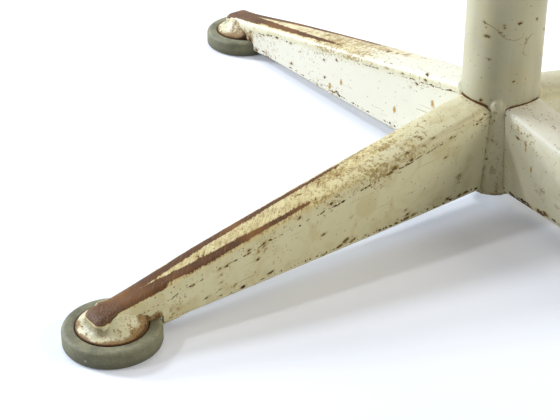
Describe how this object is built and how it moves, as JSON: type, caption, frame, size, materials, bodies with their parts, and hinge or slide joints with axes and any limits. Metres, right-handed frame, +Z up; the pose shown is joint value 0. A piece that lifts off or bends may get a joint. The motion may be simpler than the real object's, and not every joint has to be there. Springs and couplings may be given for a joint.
{
  "type": "industrial desk chair",
  "caption": "Swivel desk chair: pressed-steel cross base on rubber-ringed feet, telescopic column with a locking lever, plywood seat and a tilting plywood backrest on a flat spring bar.",
  "frame": {"origin": "on the floor, on the column's axis", "axes": "+Z up, the sitter faces -Y, the legs lie along X and Y"},
  "size_m": [0.5784, 0.5784, 0.7852],
  "materials": {
    "cream_enamel": "worn stove enamel on pressed steel",
    "grey_rubber": "aged moulded rubber",
    "bright_steel": "dull plated steel",
    "bearing_bronze": "turned and oiled",
    "black_phenolic": "moulded and polished",
    "beech_plywood": "varnished"
  },
  "bodies": {
    "base": {"leg_front": "cream_enamel", "foot_cup_front": "cream_enamel", "foot_ring_front": "grey_rubber", "leg_right": "cream_enamel", "foot_cup_right": "cream_enamel", "foot_ring_right": "grey_rubber", "leg_rear": "cream_enamel", "foot_cup_rear": "cream_enamel", "foot_ring_rear": "grey_rubber", "leg_left": "cream_enamel", "foot_cup_left": "cream_enamel", "foot_ring_left": "grey_rubber", "column_tube": "cream_enamel", "column_plug": "bright_steel", "column_bush": "bearing_bronze", "column_collar": "cream_enamel"},
    "lock": {"lock_lever": "bright_steel", "lever_ball": "black_phenolic"},
    "post": {"post_tube": "bright_steel", "post_foot": "bearing_bronze", "spindle": "bright_steel", "thrust_washer": "bearing_bronze", "spindle_washer": "bright_steel", "spindle_nut": "bright_steel"},
    "seat": {"seat_hub": "cream_enamel", "hub_bush": "bearing_bronze", "seat_spider": "cream_enamel", "seat_board": "beech_plywood", "seat_bolt_1": "bright_steel", "seat_bolt_2": "bright_steel", "seat_bolt_3": "bright_steel", "seat_bolt_4": "bright_steel", "seat_nut_1": "bright_steel", "seat_nut_2": "bright_steel", "seat_nut_3": "bright_steel", "seat_nut_4": "bright_steel", "back_guide": "cream_enamel", "guide_screw_1": "bright_steel", "guide_screw_2": "bright_steel", "guide_screw_3": "bright_steel", "guide_screw_4": "bright_steel"},
    "depth_lock": {"depth_knob": "black_phenolic", "depth_screw": "bright_steel"},
    "back_support": {"back_bar": "bright_steel"},
    "slider": {"back_slider": "cream_enamel", "hinge_pin": "bright_steel"},
    "height_lock": {"height_knob": "black_phenolic", "height_screw": "bright_steel", "height_washer": "bright_steel"},
    "backrest": {"back_leaf": "cream_enamel", "back_board": "beech_plywood", "back_rivet_1": "bright_steel", "back_rivet_2": "bright_steel", "back_rivet_3": "bright_steel", "back_rivet_4": "bright_steel"}
  },
  "joints": [
    {"name": "column_height", "type": "slide", "parent": "base", "child": "post", "axis": [0, 0, 1], "range_m": [-0.04, 0.08]},
    {"name": "seat_swivel", "type": "hinge", "parent": "post", "child": "seat", "pos_m": [0, 0, 0.42], "axis": [0, 0, 1], "continuous": true},
    {"name": "lock_turn", "type": "hinge", "parent": "base", "child": "lock", "pos_m": [0.05, 0, 0.266], "axis": [1, 0, 0], "range_deg": [-40, 50]},
    {"name": "back_depth", "type": "slide", "parent": "seat", "child": "back_support", "axis": [0, 1, 0], "range_m": [-0.008, 0.025]},
    {"name": "depth_knob_turn", "type": "hinge", "parent": "seat", "child": "depth_lock", "pos_m": [0, 0.111, 0.43], "axis": [0, 0, 1], "range_deg": [-360, 360]},
    {"name": "back_height", "type": "slide", "parent": "back_support", "child": "slider", "axis": [0, 0.1045, 0.9945], "range_m": [-0.04, 0.04]},
    {"name": "height_knob_turn", "type": "hinge", "parent": "slider", "child": "height_lock", "pos_m": [0, 0.21282, 0.69704], "axis": [0, 0.9945, -0.1045], "range_deg": [-360, 360]},
    {"name": "back_tilt", "type": "hinge", "parent": "slider", "child": "backrest", "pos_m": [0, 0.21282, 0.69704], "axis": [1, 0, 0], "range_deg": [-12, 12]}
  ]
}
